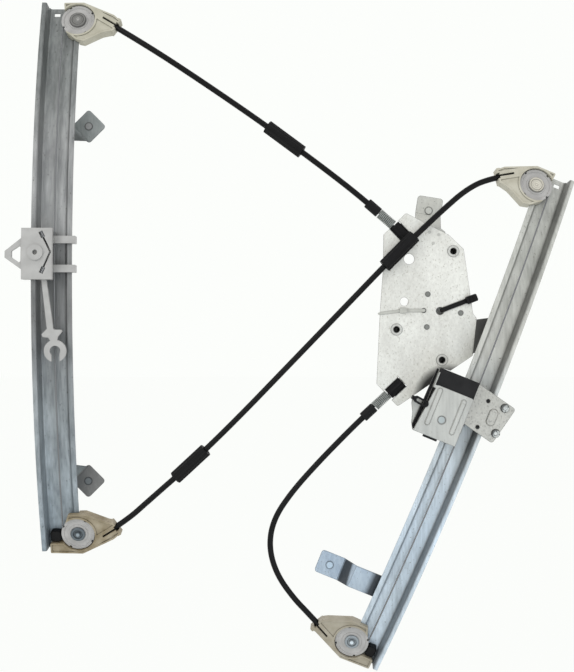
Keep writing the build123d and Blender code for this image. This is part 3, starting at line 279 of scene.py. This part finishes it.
def edge_shaded(finish, radius, depth):
    """Painted shade: darken a finish along its sheared edges, where a rounded normal leaves the flat one."""
    tree = finish.node_tree
    rounded = tree.nodes.new("ShaderNodeBevel")
    rounded.samples = 6
    rounded.inputs["Radius"].default_value = radius
    flat = tree.nodes.new("ShaderNodeNewGeometry")
    match = tree.nodes.new("ShaderNodeVectorMath")
    match.operation = "DOT_PRODUCT"
    tree.links.new(rounded.outputs["Normal"], match.inputs[0])
    tree.links.new(flat.outputs["Normal"], match.inputs[1])
    return veiled(finish, shade(tree, match.outputs["Value"], [(0.8, grey(depth)), (0.99, grey(1.0))]))


def zinc(name, dark, light, worn, turn, along=0.05, metallic=0.3, edge=0.0012, edge_shade=0.3, fleck=0.66):
    """Zinc coat: streaks along the sheet, cloudy spangle over them, and specks of wear; painted shade in its
    inner corners and along its edges.
    """
    finish, tree, shader, place = new_finish(name)
    streaks = speckle(tree, place, (1.0, 1.0, along), 420.0, 4.0, turn)
    cloud = speckle(tree, place, (1.0, 1.0, 0.4), 55.0, 3.0, turn)
    spots = speckle(tree, place, (1.0, 1.0, 0.8), 600.0, 2.0)
    ground = shade(tree, streaks, [(0.3, dark), (0.7, light)])
    ground = blended(tree, 0.45, ground, shade(tree, cloud, [(0.36, dark), (0.64, light)]))
    specks = shade(tree, spots, [(fleck, grey(0.0)), (fleck + 0.08, grey(1.0))])
    ground = blended(tree, specks, ground, worn)
    tree.links.new(ground, shader.inputs["Base Color"])
    shader.inputs["Metallic"].default_value = metallic
    roughened(tree, shader, cloud, 0.34, 0.52)
    grained(tree, shader, streaks, 0.12, 0.0004)
    # Painted shade in the inner corners and along the sheared edges.
    return edge_shaded(corner_shaded(finish, 0.0012, 0.35), edge, edge_shade)


def dress(node, finish):
    """Give a carried-over CAD node its finish."""
    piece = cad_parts[node]
    piece.data.materials.clear()
    piece.data.materials.append(finish)


rightward = (1, 0, 0)
upward = (0, 0, 1)
inward = (0, 1, 0)          # into the car
right_lean = math.radians(22)
left_zinc = zinc(
    "left_rail_zinc", linear(146, 149, 150), linear(212, 214, 214), linear(112, 112, 108), (0, 0, 0),
    edge=0.0006, edge_shade=0.6,
)
# Painted shade across the rail: darker on the outer flange wall, at the creases and at the inner step.
shaded_along(left_zinc, rightward, [
    (-0.4000, 0.76), (-0.3962, 0.72), (-0.3950, 0.55), (-0.3940, 0.75), (-0.3925, 1.00), (-0.3890, 0.95),
    (-0.3840, 0.76), (-0.3780, 0.76), (-0.3712, 0.86), (-0.3694, 0.50), (-0.3676, 0.60), (-0.3665, 0.72),
])
# Painted light along the height: bluish towards the low end, lighter and darker bands above.
shaded_along(left_zinc, upward, [
    (-0.240, (0.78, 0.90, 1.00)), (-0.100, (0.84, 0.90, 0.94)), (-0.010, 0.57), (0.050, 0.66), (0.100, 0.86),
    (0.160, 0.76), (0.230, (0.56, 0.58, 0.57)), (0.310, (0.53, 0.55, 0.54)),
])
dress("left_rail", left_zinc)
right_zinc = zinc(
    "right_rail_zinc", linear(196, 198, 197), linear(250, 252, 252), linear(160, 159, 153),
    (0, -right_lean, 0), edge=0.0006, edge_shade=0.6,
)
right_across = (math.cos(right_lean), 0, -math.sin(right_lean))
# Painted shade across the rail: darker at the crease and on the flange wall next to the lip.
shaded_along(right_zinc, right_across, [
    (0.0437, 0.92), (0.0480, 0.88), (0.0492, 0.55), (0.0506, 0.60), (0.0520, 0.92), (0.0600, 0.94),
    (0.0660, 1.00), (0.0697, 0.95), (0.0712, 0.30), (0.0730, 0.30), (0.0745, 0.85), (0.0765, 0.95),
])
# Painted light along the height: bluish towards the low end, warmer and darker towards the top.
shaded_along(right_zinc, upward, [
    (-0.350, (0.80, 0.90, 1.00)), (-0.220, (0.80, 0.90, 1.00)), (-0.120, (0.76, 0.80, 0.82)),
    (-0.040, (0.80, 0.79, 0.74)), (0.060, (0.74, 0.74, 0.69)), (0.140, (0.69, 0.69, 0.65)),
])
dress("right_rail", right_zinc)

# ---- Motor plate, drum bearing and its rivets, and the motor's bushes
# Pressed zinc-coated steel, brighter and flatter than the rails, mottled with spangle;
# the bushes are turned and swaged in, and the bearing is held by three punched rivets.
plate_zinc = zinc(
    "plate_zinc", linear(211, 211, 205), linear(239, 240, 234), linear(196, 195, 186),
    (0.3, 0.2, 0.6), 0.7, 0.3, fleck=0.61,
)
# Painted shade: the plate dark wherever it leaves its front face, forward on its wing and back on its rolled
# corner, seen from the front.
plate_depth_shade = [(-0.040, 0.02), (-0.026, 0.03), (-0.0192, 0.06), (-0.0184, 1.0)]
plate_depth_shade += [(-0.0163, 1.0), (-0.0140, 0.45), (-0.0080, 0.14), (-0.0010, 0.1)]
shaded_along(plate_zinc, inward, plate_depth_shade, front_only=True)
# Painted shade: a dark patch at the plate's rolled lower corner.
shaded_corner = (0.008, -0.088)
ringed(plate_zinc, shaded_corner, [(0.0, 0.04), (0.0275, 0.05), (0.0315, 0.4), (0.036, 1.0)])
for weld in ((-0.0106, 0.0789), (-0.0012, 0.0764), (-0.0068, 0.0677)):
    ringed(plate_zinc, weld, [(0.0, 0.66), (0.0013, 0.7), (0.0021, 1.0)])
dress("motor_plate", plate_zinc)
dress(
    "drum_bearing",
    zinc("bearing_zinc", linear(150, 152, 150), linear(190, 192, 190), linear(120, 118, 112), (0, 0, 0)),
)
dress(
    "bearing_rivets",
    zinc("rivet_head_zinc", linear(112, 114, 110), linear(140, 142, 138), linear(100, 100, 96), (0, 0, 0)),
)
bush_zinc = zinc("bush_zinc", linear(186, 187, 182), linear(212, 213, 208), linear(130, 128, 120), (0, 0, 0))
# Painted shade: the bushes dark behind their front flange.
shaded_along(bush_zinc, inward, [(-0.0200, 1.0), (-0.0182, 1.0), (-0.0170, 0.25), (-0.002, 0.2)])
dress("motor_bushes", bush_zinc)

# ---- Fixing tabs and studs
# Offcuts of the same strip, bent and spot-welded behind the rails and the plate, with
# flat-headed M6 studs pressed through them and staked round.
# The lower bracket's bluish colours are painted cool light from below.
for node, dark, light, turn in (
    ("left_upper_tab", linear(136, 142, 141), linear(164, 170, 169), (0, 0.8, 0)),
    ("left_lower_tab", linear(130, 131, 130), linear(154, 155, 154), (0, 0.8, 0)),
    ("right_lower_bracket", linear(158, 174, 190), linear(190, 205, 218), (0, 1.1, 0)),
    ("plate_top_tab", linear(186, 187, 181), linear(208, 209, 202), (0, 0.2, 0)),
):
    strip = zinc(node + "_zinc", dark, light, linear(120, 122, 122), turn, 0.3)
    if node == "right_lower_bracket":
        # Painted shade: the bracket dark on its sloped bend and where it passes behind the rail, seen from
        # the front.
        bend_shade = [(-0.020, 1.0), (-0.0155, 0.9), (-0.0128, 0.12), (-0.0035, 0.1), (-0.0012, 1.0)]
        shaded_along(strip, inward, bend_shade, front_only=True)
        behind_rail_shade = [(0.022, 1.0), (0.034, 0.9), (0.0395, 0.1), (0.06, 0.08)]
        shaded_along(strip, right_across, behind_rail_shade, front_only=True)
    elif node == "left_upper_tab":
        # Painted shade: the tab darker on its slope towards the rail, seen from the front.
        shaded_along(strip, inward, [(-0.030, 0.3), (-0.006, 0.5), (-0.0015, 0.95), (0.0, 1.0)], front_only=True)
    elif node == "left_lower_tab":
        # Painted light and shade: the tab bluish on its slope towards the rail, darker on its flat face, seen
        # from the front.
        cool = (0.85, 0.95, 1.0)
        shaded_along(strip, inward, [(-0.020, cool), (-0.0030, cool), (-0.0016, 0.66), (0, 0.6)], front_only=True)
    dress(node, strip)
stud_zinc = zinc(
    "stud_zinc", linear(220, 222, 222), linear(240, 242, 242), linear(170, 170, 166), (0, 0, 0), 1.0
)
# Each stud head's level and tint are painted light and shade, bluish on the lowest, with a darker ring at its
# rim.
for middle, painted_tint in (
    ((-0.3548, 0.1884), 0.42),
    ((-0.3552, -0.1726), (0.19, 0.21, 0.22)),
    ((-0.0088, 0.1026), (0.72, 0.72, 0.67)),
    ((-0.1096, -0.2581), (0.56, 0.68, 0.8)),
):
    level = np.array(painted_tint) * np.ones(3)
    edge = tuple(float(v) for v in 0.5 * level)
    level = tuple(float(v) for v in level)
    ringed(stud_zinc, middle, [(0.0, level), (0.0028, level), (0.0034, edge), (0.0041, edge), (0.0044, 1.0)])
dress("mounting_studs", stud_zinc)


# ---- Pulley housings
# Natural acetal mouldings, creamy and a little translucent, screwed to nothing: the
# pulley's rivet and the conduit hold them on the rail's end.
def moulding(name, low, high, roughness, scale=90.0, shine=0.5):
    """Moulded plastic: a faint cloud in the colour and a fine matt grain."""
    finish, tree, shader, place = new_finish(name)
    cloud = speckle(tree, place, (1, 1, 1), scale, 3.0)
    grain = speckle(tree, place, (1, 1, 1), 2600.0, 2.0)
    coloured(tree, shader, cloud, (0.3, low), (0.7, high))
    roughened(tree, shader, cloud, roughness - 0.06, roughness + 0.06)
    shader.inputs["Specular IOR Level"].default_value = shine
    grained(tree, shader, grain, 0.08, 0.0002)
    return finish


for end, low, high in (
    ("left_upper", linear(168, 165, 147), linear(188, 185, 169)),
    ("left_lower", linear(124, 111, 84), linear(166, 156, 134)),
    ("right_upper", linear(176, 172, 155), linear(196, 193, 178)),
    ("right_lower", linear(145, 137, 118), linear(168, 162, 146)),
):
    # Painted shade darkens each housing in its inner corners.
    dress(end + "_housing", corner_shaded(moulding(end + "_acetal", low, high, 0.45), 0.0016, 0.45))

# ---- Pulleys and the rivets they turn on
# Whiter acetal with a slight gloss; the rivets are turned steel with a flat, ring-marked head.
pulley_white = moulding("pulley_white", linear(162, 161, 159), linear(180, 179, 177), 0.35)
# Each rivet's colours are painted light and shade, bluish on the two lower ones.
for end, middle, low, high in (
    ("left_upper", (-0.3640, 0.2945), linear(176, 176, 172), linear(198, 198, 194)),
    ("left_lower", (-0.3640, -0.2258), linear(136, 148, 156), linear(168, 180, 188)),
    ("right_upper", (0.0981, 0.1278), linear(226, 222, 208), linear(244, 240, 226)),
    ("right_lower", (-0.0881, -0.3332), linear(206, 218, 228), linear(232, 244, 250)),
):
    dress(end + "_pulley", pulley_white)
    steel = zinc(end + "_rivet_steel", low, high, linear(120, 118, 112), (0, 0, 0), 1.0, 0.5)
    groove = 0.62 if end == "right_upper" else 0.30
    ringed(steel, middle, [
        (0.0, 1.0), (0.0014, 0.95), (0.0022, groove), (0.0031, groove + 0.2), (0.0040, groove),
        (0.0051, groove + 0.18), (0.0070, groove + 0.12), (0.0080, 0.24), (0.0100, 0.24),
    ])
    dress(end + "_rivet", steel)

# ---- Rubber stops and caps
# Moulded black rubber, matt with a faint bloom: a stop at the lower end of each rail, and
# a cap over the end of each spout of the drum housing.
rubber = moulding("black_rubber", linear(10, 10, 11), linear(20, 20, 21), 0.62, 160.0, shine=0.2)
for node in ("left_bumper", "right_bumper", "upper_cap", "lower_cap"):
    dress(node, rubber)

# ---- Drum and its housing
# White acetal mouldings behind the plate: the drum winds the cable and turns on its
# bearing, and the housing closes round it, with the caps on its spouts.
dress("cable_drum", moulding("drum_white", linear(212, 212, 208), linear(228, 228, 224), 0.4))
dress("drum_housing", moulding("housing_white", linear(198, 196, 188), linear(216, 214, 206), 0.48))


# ---- Cables
# Galvanised steel rope of many fine strands, dulled by grease, as its lay makes slanting
# bands of light and dark along it.
def rope_finish(name, turn):
    """Slanting bands at the rope's lay over the object's coordinates, painted shade dark in the grooves."""
    finish, tree, shader, place = new_finish(name)
    mapping = tree.nodes.new("ShaderNodeMapping")
    mapping.inputs["Rotation"].default_value = turn
    tree.links.new(place, mapping.inputs["Vector"])
    bands = tree.nodes.new("ShaderNodeTexWave")
    bands.bands_direction = "DIAGONAL"
    bands.inputs["Scale"].default_value = 330.0
    bands.inputs["Distortion"].default_value = 0.6
    tree.links.new(mapping.outputs["Vector"], bands.inputs["Vector"])
    coloured(tree, shader, bands.outputs["Fac"], (0.1, linear(84, 86, 88)), (0.75, linear(154, 156, 158)))
    shader.inputs["Metallic"].default_value = 0.4
    shader.inputs["Roughness"].default_value = 0.42
    grained(tree, shader, bands.outputs["Fac"], 0.5, 0.0003)
    return finish


rope = rope_finish("steel_rope", (0, 0, 0))
for node in ("left_rail_cable", "right_rail_cable", "upper_bare_cable", "lower_bare_cable", "drum_winding"):
    dress(node, rope)
dress("left_cable_ends", rope_finish("cable_end_steel", (0.4, 0, 0)))
dress("right_cable_ends", rope)


# ---- Take-up springs
# Bright drawn wire, closely coiled, held between the cap and the ferrule. Its turns lie a
# little closer at both ends.
def coil(name, foot, heading, length, turns, radius, wire):
    """Round wire swept along a helix: its centre turns about the heading while it climbs, a little
    slower at both ends, and a circle stands across its path at every step."""
    axis = np.array(heading) / np.linalg.norm(heading)
    side = np.array([0.0, 1.0, 0.0])
    other = np.cross(axis, side)
    steps_per_turn, wire_sides, slowing = 26, 10, 0.1
    step = np.linspace(0.0, 1.0, turns * steps_per_turn + 1)
    angle = 2 * np.pi * turns * step
    climb = wire + (length - 2 * wire) * (step - slowing * np.sin(2 * np.pi * step) / (2 * np.pi))
    outward = np.cos(angle)[:, None] * side + np.sin(angle)[:, None] * other
    centre = np.array(foot) + climb[:, None] * axis + radius * outward
    tangent = np.gradient(centre, axis=0)
    tangent /= np.linalg.norm(tangent, axis=1)[:, None]
    across = np.cross(tangent, outward)
    ring = np.linspace(0, 2 * np.pi, wire_sides, endpoint=False)
    points = centre[:, None, :] + wire * (
        np.cos(ring)[None, :, None] * outward[:, None, :] + np.sin(ring)[None, :, None] * across[:, None, :]
    )
    return skin(name, points)


def skin(name, points):
    """A closed tube from rings of points: each ring joins the next, and a fan closes each end."""
    rows, ring = points.shape[:2]
    grid = np.arange(rows * ring).reshape(rows, ring)
    ahead = np.roll(grid, -1, axis=1)
    quads = np.stack([grid[:-1], grid[1:], ahead[1:], ahead[:-1]], axis=-1).reshape(-1, 4)
    ends = np.array([points[0].mean(axis=0), points[-1].mean(axis=0)])
    first = np.stack([np.full(ring, rows * ring), grid[0], ahead[0]], axis=-1)
    last = np.stack([np.full(ring, rows * ring + 1), ahead[-1], grid[-1]], axis=-1)
    mesh = bpy.data.meshes.new(name)
    vertices = np.concatenate([points.reshape(-1, 3), ends])
    mesh.from_pydata(vertices.tolist(), [], quads.tolist() + first.tolist() + last.tolist())
    mesh.polygons.foreach_set("use_smooth", np.ones(len(mesh.polygons), dtype=bool))
    piece = bpy.data.objects.new(name, mesh)
    scene.collection.objects.link(piece)
    return piece


bright, tree, shader, place = new_finish("bright_spring_wire")
drawn = speckle(tree, place, (1, 1, 1), 1500.0)
coloured(tree, shader, drawn, (0.3, linear(120, 124, 121)), (0.7, linear(164, 168, 165)))
shader.inputs["Metallic"].default_value = 0.5
roughened(tree, shader, drawn, 0.36, 0.5)
drum_wrap_radius = 0.026
spring_start = 0.0938       # along the cable, from where it leaves the drum
cable_depth = -0.0122
spring_length = 0.0196
for name, turn, bend, side in (("upper", 133.5, 5.5, 1.0), ("lower", 223.0, 0.0, -1.0)):
    way = np.array([math.cos(math.radians(turn)), 0.0, math.sin(math.radians(turn))])
    leave = drum_wrap_radius * np.array([side * way[2], 0.0, -side * way[0]])
    corner = leave + spring_start * way + np.array([0.0, cable_depth, 0.0])
    bent = math.radians(turn + bend)
    heading = (math.cos(bent), 0.0, math.sin(bent))
    spring = coil(name + "_coil", corner, heading, spring_length, turns=11, radius=0.0044, wire=0.0007)
    spring.data.materials.append(bright)
    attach(spring, "frame")
    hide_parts(name + "_spring")

# ---- Conduits and their end ferrules
# Steel-lined cable sheath with a black jacket, satin and faintly ribbed by the liner's
# coils under it; each runs from a pulley housing to a ferrule or to another housing.
jacket, tree, shader, place = new_finish("conduit_jacket")
fine = speckle(tree, place, (1, 1, 1), 900.0, 3.0)
coloured(tree, shader, fine, (0.35, linear(5, 5, 6)), (0.7, linear(13, 13, 14)))
shader.inputs["Specular IOR Level"].default_value = 0.18
roughened(tree, shader, fine, 0.36, 0.5)
grained(tree, shader, fine, 0.15, 0.0003)
jacket_radius = 0.0029
routes = {
    "upper": [
        (-0.3388, -0.0062, 0.2952), (-0.2952, -0.0139, 0.2679), (-0.2348, -0.0090, 0.2293),
        (-0.1742, -0.0100, 0.1874), (-0.1177, -0.0115, 0.1454), (-0.0821, -0.0122, 0.1176),
        (-0.0685, -0.0122, 0.1058),
    ],
    "cross": [
        (-0.3388, -0.0062, -0.2262), (-0.3153, -0.0103, -0.2115), (-0.2912, -0.0100, -0.1900),
        (-0.2504, -0.0140, -0.1541), (-0.2040, -0.0180, -0.1090), (-0.1500, -0.0220, -0.0529),
        (-0.0964, -0.0250, 0.0028), (-0.0489, -0.0258, 0.0523), (-0.0212, -0.0258, 0.0786),
        (-0.0010, -0.0240, 0.0977), (0.0264, -0.0160, 0.1218), (0.0496, -0.0131, 0.1332),
        (0.0749, -0.0094, 0.1377),
    ],
    "lower": [
        (-0.0730, -0.0122, -0.1036), (-0.0861, -0.0122, -0.1159), (-0.1228, -0.0125, -0.1533),
        (-0.1495, -0.0130, -0.1834), (-0.1666, -0.0132, -0.2095), (-0.1713, -0.0130, -0.2362),
        (-0.1641, -0.0120, -0.2636), (-0.1470, -0.0110, -0.2885), (-0.1291, -0.0120, -0.3067),
        (-0.1122, -0.0089, -0.3263),
    ],
}
for name, length in (("upper", 0.3309), ("cross", 0.5584), ("lower", 0.278)):
    route = routes[name]
    line = bpy.data.curves.new(name + "_sheath", "CURVE")
    line.dimensions = "3D"
    line.bevel_depth = jacket_radius
    line.bevel_resolution = 6
    line.use_fill_caps = True
    spline = line.splines.new("NURBS")
    spline.points.add(len(route) - 1)
    for point, place in zip(spline.points, route):
        point.co = (*place, 1.0)
    spline.order_u = 3
    spline.use_endpoint_u = True
    spline.resolution_u = 24
    line.materials.append(jacket)
    sheath = bpy.data.objects.new(name + "_sheath", line)
    scene.collection.objects.link(sheath)
    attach(sheath, "frame")
    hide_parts(name + "_conduit")
ferrule_black = moulding("ferrule_black", linear(8, 8, 9), linear(16, 16, 18), 0.5, shine=0.2)
for name in ("upper", "lower"):
    dress(name + "_ferrule", ferrule_black)

# ---- Sleeves on the conduits
# Ridged black rubber tubes, a tight fit on the conduits, which keep them from rattling
# on the door.
sleeve_rubber = moulding("sleeve_rubber", linear(6, 6, 7), linear(15, 15, 16), 0.55, 240.0, shine=0.2)
for name in ("upper_sleeve", "cross_sleeve", "plate_sleeve"):
    dress(name, sleeve_rubber)

# ---- Ties
# Moulded nylon ties, one black and one milky, threaded through holes in the plate and
# drawn tight for shipping.
dress("black_tie", moulding("black_nylon", linear(7, 7, 8), linear(17, 17, 18), 0.45, shine=0.2))
dress("clear_tie", moulding("milky_nylon", linear(176, 177, 170), linear(196, 197, 190), 0.35))

# ---- Left carriage
# White acetal, slightly translucent, with its tail clip moulded from the same stuff.
carriage_white = moulding("carriage_white", linear(165, 165, 163), linear(180, 180, 178), 0.42)
# Painted shade darkens the carriage in its inner corners.
corner_shaded(carriage_white, 0.0010, 0.8)
dress("left_carriage", carriage_white)
dress("carriage_tail_clip", carriage_white)

# ---- Right carriage
# Two zinc-coated pressings riveted together over a moulded shoe, with a rubbery black
# liner between them for the glass.
carrier_zinc = zinc(
    "carrier_zinc", linear(174, 174, 168), linear(202, 201, 194), linear(158, 157, 152),
    (0.2, 0.3, 0.5), 0.8, 0.4, fleck=0.57,
)
dress("carrier_plate", carrier_zinc)
jaw_zinc = zinc(
    "jaw_zinc", linear(174, 175, 171), linear(197, 198, 193), linear(150, 150, 144),
    (0, -right_lean, 0), 0.1, 0.45,
)
# Painted shade and reflection on the jaw's dimple: a bluish centre in a darker ring.
ringed(jaw_zinc, (-0.0064, -0.1047), [
    (0.0, (0.86, 0.94, 1.0)), (0.0028, (0.86, 0.94, 1.0)), (0.0034, 0.62), (0.0042, 0.66), (0.0048, 1.0),
])
dress("front_jaw", jaw_zinc)
peened = zinc(
    "carriage_rivet_zinc", linear(180, 184, 182), linear(222, 225, 222), linear(110, 116, 114),
    (0, 0, 0), 1.0, 0.5, fleck=0.56,
)
for x, z in ((0.0559, -0.0942), (0.0469, -0.1185)):
    ringed(peened, (x, z), [
        (0.0, 0.95), (0.0013, 1.0), (0.0019, 0.45), (0.0024, 0.8), (0.0032, 0.9), (0.0040, 0.5),
        (0.0050, 0.5), (0.0052, 1.0),
    ])
    # Painted shade: an offset dark ring leaves a crescent of shade on one side of each head.
    ringed(peened, (x + 0.0014, z - 0.0012), [
        (0.0, 1.0), (0.0034, 1.0), (0.0043, 0.22), (0.0075, 0.22), (0.0078, 1.0),
    ])
dress("carriage_rivets", peened)
dress("glass_channel_liner", moulding("liner_black", linear(26, 26, 27), linear(38, 38, 39), 0.65, shine=0.2))
dress("slide_shoe", moulding("shoe_black", linear(18, 18, 20), linear(28, 28, 30), 0.5, shine=0.3))
dress("jaw_clip", moulding("clip_black", linear(7, 7, 8), linear(15, 15, 17), 0.45, shine=0.2))
